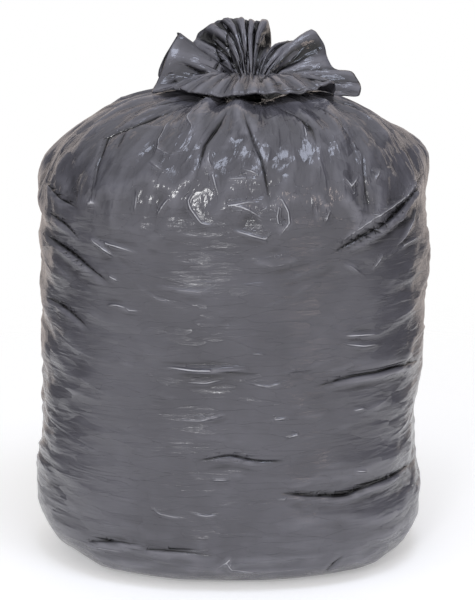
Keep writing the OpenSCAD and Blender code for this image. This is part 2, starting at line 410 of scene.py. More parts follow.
# %% Cloth settings
FRAMES, GROWTH = 10, 0.03
cloth = cloth_body.modifiers.new("cloth", "CLOTH")
for key, value in {
    "quality": 4, "mass": 0.005, "air_damping": 2,
    "tension_stiffness": 60, "compression_stiffness": 60, "shear_stiffness": 10, "bending_stiffness": 0.4,
    "tension_damping": 8, "compression_damping": 8, "shear_damping": 8, "bending_damping": 0.5,
    "vertex_group_mass": "held", "vertex_group_shrink": "slackest", "shrink_max": -GROWTH,
}.items():
    setattr(cloth.settings, key, value)
cloth.settings.effector_weights.gravity = 0.6
cloth.collision_settings.distance_min = MM
cloth.point_cache.frame_start, cloth.point_cache.frame_end = 1, FRAMES
print("cloth over", FRAMES, "frames, growing by up to", round(100 * GROWTH), "per cent")

# %% [markdown]
# What the cloth moved as a whole isn't wanted, only its folds. So most of the movement that large areas
# share is taken away again before the rest is limited.

# %% Run the cloth and keep its folds within the limit
LIMIT = 9 * MM
EVEN_TIMES, WIDE_TIMES, WIDE_SHARE = 4, 150, 0.6

for moment in range(1, FRAMES + 1):
    bpy.context.scene.frame_set(moment)
settled = cloth_body.evaluated_get(bpy.context.evaluated_depsgraph_get()).data
moved = np.zeros_like(start)
moved[~loose] = numbers(settled.vertices, "co", 3) - smooth_co[~loose]
median = np.median(np.linalg.norm(moved[~loose], axis=1))
print("half of the cloth moved by more than, mm:", round(float(median) / MM, 1))
moved = evened(moved, EVEN_TIMES)
moved -= WIDE_SHARE * evened(moved, WIDE_TIMES)
far = np.linalg.norm(moved, axis=1, keepdims=True) + 1e-9
moved *= LIMIT * np.tanh(far / LIMIT) / far
move_film(smooth_co + moved * (~at_ends & ~loose & ~ring)[:, None])
for helper in (cloth_body, contents):
    bpy.data.objects.remove(helper)
bpy.context.scene.frame_set(1)

# %% [markdown]
# ## Wrinkles too small for the cloth
# The real film is 0.04 mm thick and folds much finer than the cloth's mesh can. Those wrinkles are added as
# ridges and panels in three sizes. There are more of them near the two corners, where the film is slackest,
# and low down, where it is pressed together.

# %% Small wrinkles
RELIEF_SHARE, MORE_LOW_DOWN = 0.6, 0.6

# where it is, how much of it, its height in millimetres, and the pattern with its sizes in millimetres
relief = on_side * slack * (0.5 + 1.6 * corner) * 1.7 * ridges(side_points(150, 24) + bend, 1, 3)
relief += on_side * slack * (0.4 + 1.4 * corner) * 1.1 * ridges(side_points(80, 12) + bend, 2, 3)
relief += on_side * slack * (0.3 + 1.2 * corner) * 1.6 * panels(side_points(90, 34) + bend)
relief += on_shoulder * at_neck * 2.2 * ridges(shoulder_points(36, 130) + bend, 4, 2.5)
relief += on_shoulder * at_neck * slack * 1.2 * ridges(shoulder_points(17, 60) + bend, 5, 3)
relief += on_shoulder * (0.4 + 0.6 * slack) * at_neck * 2.4 * panels(shoulder_points(52, 80) + bend)
relief *= (1 + MORE_LOW_DOWN * ease(200 * MM, 70 * MM, along)) * off_floor * RELIEF_SHARE * MM
move_film(places() + outwards() * relief[:, None])
print("wrinkles stand up to", round(float(relief.max()) / MM, 1), "mm proud")

# %% [markdown]
# ## The loose mouth
# Above the tie the film is free. It leaves the neck in as many pleats as the neck has gathers, deep where
# they are packed together and shallow at the hem, and the lip in front is creased across. Where the pleats
# are packed they are also painted dark, as painted shade. Both faces of the sheet have to move together, so
# that it keeps its thickness. So each point is pushed towards the side that the mouth opens to, and not
# along its own normal.

# %% Which way the mouth opens, and where its pleats are
GATHERS = 30
base = places()
facing = outwards()
centre = np.array([NECK_X, -20 * MM, MOUTH_Z + 150 * MM])
shown_side = np.sign(np.einsum("ij,ij->i", facing, centre - base))
inwards = facing * shown_side[:, None]
grow = ease(8 * MM, 35 * MM, from_neck) * loose
at_back = ease(-0.3, 0.5, np.sin(around))
uneven_turn = np.radians(50 * np.sin(2 * around + 0.35) + 35 * np.sin(5 * around))
gather = np.cos(GATHERS * around + uneven_turn)
uneven = 0.55 + 0.45 * noise_at(shoulder_points(70, 300), 15)
pleat = ((1 + gather) / 2) ** 3
packed = np.clip(1.15 - from_neck / (150 * MM), 0.25, 1)
print(GATHERS, "pleats, over", int((loose & (grow > 0)).sum()), "vertices")

# %% Pleat and crumple the mouth
shake = -8 * at_back * uneven * packed * pleat
shake += 1.5 * (0.4 + 0.6 * at_back) * (ridges(shoulder_points(40, 220), 11, 2) - 0.4)
shake += 1.3 * (ridges(shoulder_points(30, 60), 12, 2) - 0.4)
shake += 1.8 * panels(shoulder_points(90, 30)) * (0.3 + 0.7 * (1 - at_back))
# without a seed of its own, noise_vector starts from the clock
noise.seed_set(7)
wave = np.array([noise.noise_vector(Vector(p) / (45 * MM)) for p in base]) * 2 * MM
move_film(base + grow[:, None] * (inwards * (shake * MM)[:, None] + wave))
print("pleats up to", round(float(-(shake * grow).min()), 1), "mm deep")

# %% How far each point is inside a pleat or on its crest, for painted shade in the pleats and painted light on the crests
pleat_painted_shade = ((1 + shown_side * gather) / 2) ** 1.3
pleat_painted_shade *= np.where(shown_side > 0, 1, 0.35) * grow
pleat_painted_shade *= (0.2 + 0.8 * at_back) * np.clip(0.3 + uneven, 0, 1) * packed
crest_painted_light = ((1 - shown_side * gather) / 2) ** 3 * grow * (0.3 + 0.7 * at_back)
print("points deep in a pleat:", int((pleat_painted_shade > 0.5).sum()))

# %% [markdown]
# ## Creases
# A crease is a sharp line with a soft slope on each side of it. It could be cut into the mesh, but a few
# hundred of them would tear its even rows apart. So each is laid on the film as a line in space, and lifts
# or sinks the vertices near it. Each vertex also keeps how far it is from its crease and how high that is,
# and the material draws the sharp line itself from those two, as a bump, with a painted glint on a ridge
# and painted shade on the other kinds. On the mouth the direction is evened first, so that a line runs over
# the pleats and not down their walls.

# %% What the creases change
surface = BVHTree.FromObject(film, bpy.context.evaluated_depsgraph_get())
base = places()
normals = np.where(loose[:, None], evened(inwards * loose[:, None], 25), outwards())
normals /= np.linalg.norm(normals, axis=1, keepdims=True) + 1e-9
lift = np.zeros((len(base), 3))
SHARP = 6 * MM
# how strongly the material draws each kind's line, as bump and as paint: a white painted glint above zero
# and black painted shade below it
LINE_SHARE = {"ridge": 1, "groove": -1, "tuck": -1.6, "slot": -2, "dent": -0.15}
shown = np.where(loose, shown_side, 1)
edge_gap = np.full(len(base), SHARP / MM)
edge_lift = np.zeros(len(base))
print("kinds of crease:", ", ".join(LINE_SHARE))


# %% The height across a crease, and how one is laid
def profile(q, kind):
    """Height across a crease, at q widths from its line. A tuck is a fold that hangs over a hollow."""
    tent = np.clip(1 - np.abs(q), 0, 1) ** 1.5
    if kind == "ridge":
        return tent - 0.15 * np.clip(1 - np.abs(np.abs(q) - 1.1) / 0.7, 0, 1)
    if kind in ("groove", "slot", "dent"):
        return -tent + 0.4 * np.clip(1 - np.abs(np.abs(q) - 1.0) / 0.6, 0, 1)
    above = (1.6 * ease(0, 0.5, q) - 0.6) * np.clip(1 - (q - 0.5) / 1.6, 0, 1) ** 1.4
    return np.where(q > 0, above, -0.6 * np.clip(1 + q / 0.9, 0, 1) ** 1.3)


def lay_crease(line, width, height, kind, part=body):
    """Adds a crease along points on the film. Its height fades towards both ends."""
    line = np.array(line)
    reach = 2.2 * width
    in_box = np.all((base > line.min(0) - reach) & (base < line.max(0) + reach), axis=1)
    near = np.flatnonzero(part & in_box)
    p, n = base[near], normals[near]
    lengths = np.linalg.norm(np.diff(line, axis=0), axis=1)
    best = np.full(len(near), 9.0)
    gap, share, across = np.zeros(len(near)), np.zeros(len(near)), np.zeros((len(near), 3))
    for i, (a, b) in enumerate(zip(line[:-1], line[1:])):
        ab = b - a
        t = np.clip((p - a) @ ab / (ab @ ab), 0, 1)
        away = p - a - t[:, None] * ab
        side = np.cross(n, ab / lengths[i])
        d = np.linalg.norm(away, axis=1)
        closer = d < best
        best = np.where(closer, d, best)
        gap = np.where(closer, np.einsum("ij,ij->i", away, side), gap)
        share = np.where(closer, (lengths[:i].sum() + t * lengths[i]) / lengths.sum(), share)
        across = np.where(closer[:, None], side, across)
    fade = np.sin(math.pi * np.clip(share, 0, 1)) ** 0.9 * off_floor[near] * (best < reach)
    q = gap / width
    lift[near] += (height * fade * profile(q, kind))[:, None] * n
    if kind == "tuck":
        over = 0.4 * np.clip(1 - np.abs(q - 0.4) / 0.5, 0, 1) * height * fade
        lift[near] -= over[:, None] * across
    stronger = (np.abs(gap) < SHARP) & (fade * height > 0.5 * np.abs(edge_lift[near]))
    rows = near[stronger]
    beside = 1 - np.abs(gap[stronger]) / SHARP
    edge_gap[rows] = gap[stronger] / MM
    # the crease's height and its kind's share also set how strongly the material paints the line: a painted
    # glint above zero, painted shade below it
    edge_lift[rows] = (fade * height / MM * LINE_SHARE[kind])[stronger] * beside * shown[rows]


print("a ridge at its line is", round(float(profile(np.array([0.0]), "ridge")[0]), 2), "of its height")

# %% [markdown]
# The creases of the front have the places that the picture shows. Each is a few points in pixels, and a ray
# from the camera through each pixel finds the film there.


# %% Lay a crease along pixels of the picture
PIXEL_STEP = 6


def on_film(x, y):
    """The point of the film that the camera sees at a pixel, and whether it is on the loose mouth."""
    hit, _, face, _ = surface.ray_cast(camera.location, ray_of_pixel(x, y))
    if hit is None:
        return None
    return np.array(hit), bool(loose[film.data.polygons[face].vertices[0]])


def lay_pictured(kind, width, height, pixels):
    """Lays a crease along points given in pixels of the picture."""
    dense = []
    for (x0, y0), (x1, y1) in zip(pixels[:-1], pixels[1:]):
        steps = max(1, round(math.hypot(x1 - x0, y1 - y0) / PIXEL_STEP))
        dense += [(x0 + (x1 - x0) * i / steps, y0 + (y1 - y0) * i / steps) for i in range(steps)]
    found = [f for f in (on_film(x, y) for x, y in [*dense, pixels[-1]]) if f]
    on_mouth = 2 * sum(f[1] for f in found) > len(found)
    points = np.array([f[0] for f in found if f[1] == on_mouth])
    for _ in range(3 if (on_mouth or kind == "tuck") and len(points) > 2 else 0):
        points[1:-1] = 0.5 * points[1:-1] + 0.25 * (points[:-2] + points[2:])
    if len(points) > 1:
        lay_crease(points, width * MM, height * MM, kind, loose if on_mouth else body)


middle = on_film(IMAGE_W / 2, IMAGE_H / 2)[0]
print("the middle of the picture shows the film at, mm:", (middle / MM).round())

# %% Creases of the mouth: kind, width and height in millimetres, and pixels
MOUTH_CREASES = [
    # the fan at the back of the mouth: dark slots between its pleats, with a light rim above them
    ("slot", 4, 6, (214, 38), (217, 53), (216, 64), (221, 74)),
    ("slot", 4, 6, (226, 30), (228, 46), (230, 64), (231, 80)),
    ("slot", 3, 4, (240, 46), (241, 81)),
    ("slot", 3, 5, (248, 26), (247, 46), (246, 64), (245, 81)),
    ("slot", 3, 4, (254, 22), (254, 41), (253, 65)),
    ("slot", 3, 4, (259, 58), (256, 70), (252, 81)),
    ("slot", 3, 3, (218, 25), (224, 30), (225, 38)),
    ("ridge", 4, 2, (193, 43), (200, 36), (208, 30)),
    ("ridge", 5, 3, (236, 40), (237, 60), (237, 80)),
    # the right-hand fan, and the flap beyond it
    ("slot", 4, 5, (290, 63), (272, 74), (258, 84)),
    ("slot", 4, 4, (277, 60), (270, 69), (263, 75)),
    ("slot", 4, 5, (298, 77), (311, 78), (321, 80), (330, 82)),
    ("slot", 3, 3, (282, 83), (268, 88)),
    ("ridge", 4, 3, (307, 45), (296, 58), (278, 74)),
    ("ridge", 4, 2, (327, 72), (334, 86)),
    ("slot", 3, 3, (335, 82), (350, 85)),
    # the left of the mouth
    ("slot", 4, 5, (182, 63), (196, 70), (207, 74), (220, 79)),
    ("ridge", 3, 5, (200, 61), (203, 56), (206, 52)),
    ("ridge", 3, 5, (207, 51), (211, 47), (214, 44)),
    ("ridge", 3, 5, (252, 86), (258, 91), (266, 99)),
    ("ridge", 3, 4, (340, 86), (352, 83), (366, 82)),
    ("ridge", 4, 2, (173, 56), (178, 62), (181, 68)),
    ("ridge", 4, 3, (190, 60), (212, 71), (223, 79)),
    ("slot", 3, 3, (166, 71), (175, 78), (190, 85)),
    ("slot", 3, 4, (262, 92), (290, 90), (318, 88)),
    # the bright rim of the lip
    ("ridge", 3, 3, (168, 84), (182, 92), (204, 99), (222, 103)),
    ("ridge", 3, 3, (240, 93), (256, 90), (262, 97), (272, 101)),
    ("ridge", 3, 3, (300, 103), (330, 102), (356, 98)),
]
print(len(MOUTH_CREASES), "creases on the mouth")

# %% Creases of the shoulder
SHOULDER_CREASES = [
    # dark lines of the shoulder's pleats
    ("groove", 4.5, 4, (228, 108), (217, 128), (205, 145), (199, 165), (196, 185)),
    ("groove", 4.5, 4, (242, 108), (253, 140), (262, 160), (268, 190), (270, 208)),
    ("groove", 4.5, 4, (278, 107), (295, 116), (312, 128), (318, 148)),
    ("groove", 5, 4, (205, 100), (180, 108), (150, 120), (124, 130), (108, 137), (98, 165), (92, 200)),
    ("groove", 5, 3, (127, 128), (116, 149)),
    ("groove", 5, 3, (363, 150), (364, 170), (366, 190), (370, 214)),
    ("groove", 5, 3, (300, 102), (322, 108), (338, 120), (352, 142)),
    ("groove", 5, 3, (196, 98), (172, 101), (150, 107), (128, 118)),
    ("groove", 5, 3, (330, 100), (352, 105), (372, 116)),
    ("groove", 5, 2, (391, 160), (398, 175)),
    # light crests and panels of the shoulder, from the left
    ("ridge", 4, 3, (183, 110), (168, 124), (159, 140), (158, 149), (170, 155), (182, 150), (191, 140)),
    ("ridge", 4, 3, (197, 104), (187, 118), (193, 127), (186, 137)),
    ("ridge", 4, 2, (179, 168), (186, 162), (192, 152)),
    ("ridge", 3, 4, (240, 168), (252, 172), (262, 176)),
    ("ridge", 3, 3, (222, 180), (243, 178), (264, 180)),
    ("ridge", 3, 4, (300, 118), (306, 136), (317, 146)),
    ("ridge", 3, 3, (210, 148), (208, 160), (214, 172)),
    ("ridge", 4, 3, (149, 161), (160, 169), (168, 170)),
    ("ridge", 4, 4, (171, 196), (163, 206), (156, 217)),
    ("ridge", 4, 3, (137, 190), (136, 204), (134, 214)),
    ("ridge", 4, 4, (205, 152), (204, 164), (211, 170), (217, 191), (219, 200)),
    ("ridge", 4, 4, (198, 186), (188, 200), (190, 208), (201, 223), (220, 227)),
    ("ridge", 4, 5, (265, 204), (249, 202), (233, 205), (249, 210), (268, 222)),
    ("ridge", 4, 4, (268, 206), (261, 212)),
    ("ridge", 4, 4, (230, 230), (243, 233), (265, 239), (274, 230)),
    ("ridge", 4, 5, (277, 192), (283, 202), (288, 212), (289, 223), (277, 239)),
    ("ridge", 4, 4, (273, 198), (279, 206), (277, 217), (279, 228), (277, 239)),
    ("ridge", 6, 2, (318, 152), (324, 176), (327, 194)),
    ("ridge", 4, 2, (316, 202), (317, 220)),
    ("ridge", 4, 4, (331, 208), (324, 224)),
    ("ridge", 4, 5, (344, 176), (351, 187), (359, 176)),
    ("ridge", 4, 4, (380, 170), (375, 181)),
    ("ridge", 4, 4, (322, 105), (345, 128), (360, 156)),
    ("ridge", 4, 4, (292, 112), (303, 128), (306, 142)),
    ("ridge", 6, 2, (250, 260), (274, 267), (307, 257)),
]
print(len(SHOULDER_CREASES), "creases on the shoulder")

# %% Creases of the side
SIDE_CREASES = [
    # the large tuck at the right corner, and the folds below it
    ("tuck", 8, 6, (424, 172), (414, 192), (403, 208), (385, 224), (360, 238), (330, 255)),
    ("ridge", 4, 5, (420, 176), (408, 195), (386, 211), (370, 221), (344, 239), (330, 254)),
    ("ridge", 4, 4, (418, 196), (413, 220), (404, 237), (391, 252)),
    ("ridge", 4, 4, (421, 235), (402, 246), (386, 257)),
    ("ridge", 5, 2, (338, 261), (350, 266), (366, 277)),
    ("ridge", 4, 4, (384, 254), (372, 270)),
    ("ridge", 4, 4, (407, 214), (395, 223)),
    # tucks across the front, and the glints beside them
    ("tuck", 7, 5, (418, 360), (380, 372), (345, 378), (310, 389)),
    ("tuck", 7, 6, (410, 462), (393, 476), (358, 489), (345, 497), (300, 495), (276, 492)),
    ("tuck", 6, 4, (285, 461), (255, 462), (230, 455), (195, 462)),
    ("groove", 3, 3, (262, 374), (238, 373), (212, 371)),
    ("ridge", 5, 6, (256, 371), (232, 370), (196, 369), (158, 366)),
    ("ridge", 3, 5, (222, 372), (200, 371), (176, 369)),
    ("ridge", 4, 4, (226, 379), (205, 383), (182, 382)),
    ("ridge", 3, 3, (292, 380), (268, 387), (240, 381)),
    ("ridge", 4, 5, (378, 334), (362, 335), (342, 336)),
    ("ridge", 4, 5, (379, 344), (364, 346), (343, 344)),
    ("ridge", 3, 3, (267, 355), (258, 354), (248, 354)),
    ("ridge", 3, 3, (232, 413), (200, 421), (170, 420)),
    ("ridge", 3, 4, (288, 418), (272, 420)),
    ("ridge", 3, 4, (300, 434), (286, 438)),
    ("ridge", 3, 4, (230, 480), (210, 480)),
    ("ridge", 3, 4, (365, 408), (352, 411)),
    ("ridge", 3, 4, (368, 471), (354, 471)),
    ("ridge", 3, 4, (330, 492), (300, 498), (268, 500)),
    # above the base
    ("tuck", 6, 4, (146, 545), (116, 541), (85, 541)),
    ("tuck", 6, 4, (215, 556), (170, 550), (128, 549)),
    ("groove", 5, 3, (325, 572), (345, 554)),
    ("ridge", 4, 4, (214, 571), (226, 562), (232, 570), (262, 572)),
    ("ridge", 4, 4, (86, 546), (100, 548), (126, 552)),
    ("ridge", 3, 4, (125, 550), (130, 543), (142, 547)),
    ("ridge", 4, 3, (148, 505), (160, 514), (186, 519)),
    ("ridge", 4, 3, (178, 420), (210, 418), (232, 412)),
    ("ridge", 4, 3, (186, 512), (206, 516), (224, 514)),
    # the left corner, where folds run down towards the front
    ("tuck", 6, 4, (78, 208), (60, 200), (46, 180)),
    ("tuck", 6, 4, (80, 240), (66, 224), (48, 212)),
    ("tuck", 7, 5, (110, 284), (76, 256), (46, 234)),
    ("ridge", 4, 5, (86, 203), (96, 203)),
    ("ridge", 5, 5, (90, 238), (102, 247), (115, 257)),
    ("ridge", 4, 5, (90, 238), (113, 245), (137, 253)),
    ("ridge", 4, 5, (108, 275), (119, 281)),
    ("tuck", 6, 4, (90, 330), (70, 310), (46, 296)),
    ("ridge", 4, 5, (108, 305), (118, 305), (128, 308)),
    ("ridge", 4, 4, (117, 309), (142, 311)),
    ("ridge", 6, 2, (146, 292), (158, 299), (175, 303)),
    ("ridge", 7, 2, (150, 284), (180, 290), (200, 293), (218, 284)),
]
print(len(SIDE_CREASES), "creases on the side")

# %% Lay them all
for kind, width, height, *pixels in MOUTH_CREASES + SHOULDER_CREASES + SIDE_CREASES:
    lay_pictured(kind, width, height, pixels)
print("vertices near a crease:", int((edge_lift != 0).sum()))

# %% [markdown]
# The rest, and the sides and the back that the picture doesn't show, get small creases from a seeded draw,
# of the same kinds and along the same directions. A fixed seed gives the same bag each time.

# %% Small creases over the side
draw = random.Random(7)
SMALL_ON_SIDE = 360
OUTSIDE = 0.6


def from_outside(angle, height):
    """The point of the body at an angle and a height."""
    out = Vector((math.cos(angle), math.sin(angle), 0))
    hit = surface.ray_cast(Vector((0, 0, height)) + out * OUTSIDE, -out)[0]
    return None if hit is None else np.array(hit)


def laid(points, width, height, kind):
    """Lays a crease along those points that were found."""
    points = [p for p in points if p is not None]
    if len(points) > 2:
        lay_crease(points, width * MM, height * MM, kind)


for _ in range(SMALL_ON_SIDE):
    angle, height = draw.uniform(0, math.tau), draw.uniform(25, 440) * MM
    size = draw.choice([1, 1, 1, 2])
    half = draw.uniform(10, 50) * size * MM / TUBE_R
    slope = draw.gauss(0, 4) * MM
    bow = draw.uniform(0, 5) * MM
    steps = [-1, -0.6, -0.2, 0.2, 0.6, 1]
    line = []
    for s in steps:
        a = angle + s * half
        smile = SAG * min(1, height / 0.42) * (math.cos(a) ** 2 - math.cos(angle) ** 2)
        line.append(from_outside(a, height + smile + s * slope + bow * s * s))
    width, high = draw.uniform(4, 7) * size, draw.uniform(0.5, 1.4)
    laid(line[::-1], width, high, draw.choice(["ridge", "ridge", "ridge", "dent"]))
print(SMALL_ON_SIDE, "small creases on the side")

# %% Small creases that run down the shoulder
SMALL_ON_SHOULDER = 170


def from_above(angle, away):
    """The point of the shoulder at an angle round the neck and a distance from it."""
    x, y = NECK_X + away * math.cos(angle), away * math.sin(angle)
    out = Vector((math.cos(angle), math.sin(angle), 0)) * 0.75 + Vector((0, 0, 1)) * 0.66
    out.normalize()
    hit = surface.ray_cast(Vector((x, y, SHOULDER_TOP - 35 * MM)) + out * 0.3, -out)[0]
    return None if hit is None else np.array(hit)


for _ in range(SMALL_ON_SHOULDER):
    angle, near = draw.uniform(0, math.tau), draw.uniform(40, 170) * MM
    length = draw.uniform(20, 70) * MM
    swing = draw.gauss(0, 0.22)
    line = [from_above(angle + swing * s * s, near + length * s) for s in (0, 0.25, 0.5, 0.75, 1)]
    laid(line, draw.uniform(4, 7), draw.uniform(0.5, 1.5), draw.choice(["ridge", "ridge", "dent"]))
print(SMALL_ON_SHOULDER, "small creases on the shoulder")

# %% Small creases between two points of the mouth
SMALL_ON_MOUTH = 110
mouth_rows = np.flatnonzero(loose & (shown_side > 0) & (from_neck > 35 * MM))
for _ in range(SMALL_ON_MOUTH):
    start = base[draw.choice(mouth_rows)]
    apart = np.linalg.norm(base[mouth_rows] - start, axis=1)
    length = draw.uniform(15, 45) * MM
    ends = mouth_rows[np.abs(apart - length) < 2 * MM]
    if len(ends):
        end = base[draw.choice(ends)]
        from_middle = np.linalg.norm(base[mouth_rows] - (start + end) / 2, axis=1)
        middle = base[mouth_rows[np.argmin(from_middle)]]
        kind = draw.choice(["ridge", "ridge", "ridge", "dent"])
        width, high = draw.uniform(3, 5) * MM, draw.uniform(0.5, 1.6) * MM
        lay_crease([start, middle, end], width, high, kind, loose)
print("up to", SMALL_ON_MOUTH, "small creases on the mouth")

# %% Move the film
lift = evened(lift, 1)
move_film(base + lift)
print("creases lift the film by up to", round(float(np.abs(lift).max()) / MM, 1), "mm")

# %% [markdown]
# ## Painted shade in hollows and painted light on crests
# Deep folds are painted darker than the light in a render makes them, as painted shade. So each vertex gets
# a number for how far it lies below its neighbours, at two scales. Painted shade is added to it in the
# pleats of the mouth and under the collar. On crests it is below zero, and there the film is painted
# lighter.

# %% How much painted shade each vertex gets, from how hollow the film is, in millimetres; below zero it is painted light
co = places()
facing = outwards()
near_hollow = np.einsum("ij,ij->i", evened(co, 2) - co, facing) / MM
wide_hollow = np.einsum("ij,ij->i", evened(co, 16) - co, facing) / MM
both = 0.6 * near_hollow + 0.4 * wide_hollow
hollow = np.clip(evened(both[:, None], 1)[:, 0], -1, 1)
# on the mouth: painted shade deep in the pleats and painted light on their crests
hollow = np.where(loose, np.clip(0.5 * hollow + 3 * pleat_painted_shade - 1.6 * crest_painted_light, -1, 1.2), hollow)
from_tie = np.linalg.norm(co - np.array([NECK_X, 0, TIE_Z]), axis=1)
# painted shade under the collar, fading out between 25 and 80 mm from the tie
collar_painted_shade = ease(80 * MM, 25 * MM, from_tie) * body
hollow = np.clip(hollow + collar_painted_shade * 1.4, -1, 1)
print("hollow, mm:", np.percentile(hollow, [1, 25, 75, 99]).round(2))

# %% Give the mesh what its material reads
for name, kind, values in (
    ("hollow", "FLOAT", hollow.astype(np.float32)),
    ("tube", "FLOAT_VECTOR", tube.astype(np.float32).ravel()),
    ("edge_gap", "FLOAT", edge_gap.astype(np.float32)),
    ("edge_lift", "FLOAT", edge_lift.astype(np.float32)),
):
    layer = film.data.attributes.new(name, kind, "POINT")
    layer.data.foreach_set("vector" if kind == "FLOAT_VECTOR" else "value", values)
    print(name, "from", values.min().round(2), "to", values.max().round(2))
for polygon in film.data.polygons:
    polygon.use_smooth = True

# %% [markdown]
# ## Materials
# Colours are written as sRGB hex values, as one reads them off a picture, but a shader works with linear
# values. One helper turns them, and another adds a node with all its settings and links in one line.


# %% Helpers for materials
def linear(hex_colour):
    """An sRGB hex colour as linear values for a socket."""
    parts = [int(hex_colour[i : i + 2], 16) / 255 for i in (1, 3, 5)]
    return (*(c / 12.92 if c <= 0.04045 else ((c + 0.055) / 1.055) ** 2.4 for c in parts), 1)


def node(tree, kind, settings=(), **inputs):
    """Adds a shader node, sets its properties, and sets or links its inputs.

    An input is named with underscores for its spaces, or with an underscore and its number.
    """
    made = tree.nodes.new("ShaderNode" + kind)
    for key, value in dict(settings).items():
        setattr(made, key, value)
    for key, value in inputs.items():
        socket = made.inputs[int(key[1:])] if key[1:].isdigit() else made.inputs[key.replace("_", " ")]
        if isinstance(value, bpy.types.NodeSocket):
            tree.links.new(value, socket)
        else:
            socket.default_value = value
    return made


def new_material(name):
    """A material, its tree and its shader."""
    made = bpy.data.materials.new(name)
    made.use_nodes = True
    return made, made.node_tree, made.node_tree.nodes["Principled BSDF"]


print("mid grey as a linear value:", round(linear("#808080")[0], 3))

# %% [markdown]
# ### The film
# It is low-density polyethylene with grey pigment, blown into a thin tube. It is glossy and a little waxy,
# so it mirrors the light softly. Its folds show mostly by what they mirror: each small facet looks at
# another part of the room. So three patterns bump it, on the tube's own coordinates: flat facets, longer
# folds, and fine wrinkles. Each is stretched round the bag on the side, and along it on the shoulder.

# %% Film material: the film's own coordinates, stretched for each pattern
blown_film, tree, shader = new_material("grey_blown_polyethylene_film")
place = node(tree, "Attribute", {"attribute_name": "tube"}).outputs["Vector"]
length_along = node(tree, "SeparateXYZ", _0=place).outputs["Z"]
soft = {"interpolation_type": "SMOOTHSTEP"}
upper = node(tree, "MapRange", soft, Value=length_along, From_Min=0.41, From_Max=0.47).outputs[0]

spread = {}
for pattern, round_mm, along_mm in (
    ("side_facets", 60, 14), ("shoulder_facets", 20, 30), ("side_folds", 90, 9),
    ("shoulder_folds", 14, 60), ("side_fine", 26, 3), ("shoulder_fine", 7, 24),
):
    scale = (1 / (round_mm * MM), 1 / (round_mm * MM), 1 / (along_mm * MM))
    spread[pattern] = node(tree, "Mapping", _0=place, Scale=scale).outputs[0]
print("patterns:", ", ".join(spread))

# %% Film material: flat facets, each tilted its own way
heights = {}
for pattern in ("side_facets", "shoulder_facets"):
    points = spread[pattern]
    shift = node(tree, "TexNoise", Vector=points, Scale=0.8, Detail=2.0).outputs["Color"]
    bend_by = {"_1": (1.2, 1.2, 1.2), "_2": points}
    bent = node(tree, "VectorMath", {"operation": "MULTIPLY_ADD"}, _0=shift, **bend_by).outputs[0]
    cell = node(tree, "TexVoronoi", Vector=bent, Scale=1.0)
    across = node(tree, "VectorMath", {"operation": "SUBTRACT"}, _0=bent, _1=cell.outputs["Position"])
    tilt = node(tree, "VectorMath", {"operation": "SUBTRACT"}, _0=cell.outputs["Color"], _1=(0.5, 0.5, 0.5))
    both = {"_0": across.outputs[0], "_1": tilt.outputs[0]}
    height = node(tree, "VectorMath", {"operation": "DOT_PRODUCT"}, **both)
    heights[pattern] = height.outputs["Value"]
print(len(heights), "patterns of facets")

# %% Film material: folds and fine wrinkles
ridged = {"noise_type": "RIDGED_MULTIFRACTAL", "normalize": False}
for pattern, settings, detail in (
    ("side_folds", ridged, 4.0), ("shoulder_folds", ridged, 1.5),
    ("side_fine", {}, 4.0), ("shoulder_fine", {}, 1.5),
):
    noisy = node(
        tree, "TexNoise", settings,
        Vector=spread[pattern], Scale=1.0, Detail=detail, Roughness=0.6, Distortion=0.8,
    )
    heights[pattern] = noisy.outputs["Fac"]
print(len(heights), "patterns in all")

# %% Film material: the patterns as bump, one on top of the other
below = {}
for kind, strength, metres in (("facets", 1.0, 0.006), ("folds", 1.0, 0.0011), ("fine", 0.5, 0.0014)):
    low, high = heights["side_" + kind], heights["shoulder_" + kind]
    both = node(tree, "Mix", {"data_type": "FLOAT"}, Factor=upper, _2=low, _3=high).outputs[0]
    bump = node(tree, "Bump", Strength=strength, Distance=metres, Height=both, **below).outputs[0]
    below = {"Normal": bump}
    print(kind, "bump:", metres / MM, "mm for each unit of the pattern")

# %% [markdown]
# A crease in polyethylene film is a line less than a millimetre wide. Its crest gets a painted glint, a
# thin white line, and a tuck or a slot between two pleats gets painted shade, black, because no light gets
# in. Both are drawn one to two millimetres wide, which is wider than they are, so that they show in the
# render.

# %% Film material: sharp crease lines, from the distance that each vertex keeps to its crease
gap = node(tree, "Attribute", {"attribute_name": "edge_gap"}).outputs["Fac"]
crease = node(tree, "Attribute", {"attribute_name": "edge_lift"}).outputs["Fac"]
apart = node(tree, "Math", {"operation": "ABSOLUTE"}, _0=gap).outputs[0]
crest = node(tree, "MapRange", soft, Value=apart, From_Min=2.6, From_Max=0.0).outputs[0]
rise_mm = node(tree, "Math", {"operation": "MULTIPLY"}, _0=crest, _1=crease).outputs[0]
bump = node(tree, "Bump", Strength=1.0, Distance=0.0005, Height=rise_mm, Normal=bump).outputs[0]
tree.links.new(bump, shader.inputs["Normal"])
# painted shade: black in the core of a tuck, slot, groove or dent line
core = node(tree, "MapRange", soft, Value=apart, From_Min=1.1, From_Max=0.2).outputs[0]
depth = node(tree, "MapRange", Value=crease, From_Min=-0.6, From_Max=-3.0).outputs[0]
# painted glint: white along the crest of a high ridge
height = node(tree, "MapRange", Value=crease, From_Min=1.4, From_Max=4.0, To_Max=0.85).outputs[0]
crest_line = node(tree, "MapRange", soft, Value=apart, From_Min=1.0, From_Max=0.1).outputs[0]
white = node(tree, "Math", {"operation": "MULTIPLY"}, _0=height, _1=crest_line).outputs[0]
print("nodes so far:", len(tree.nodes))

# %% [markdown]
# The pigment is even, but the grey still varies slowly in patches. Crests are painted paler, as painted
# light, and hollows and crease lines are painted darker, as painted shade.

# %% Film material: colour, with painted shade and painted light
PATCHES_PER_M = 9.0  # each is about 110 mm wide

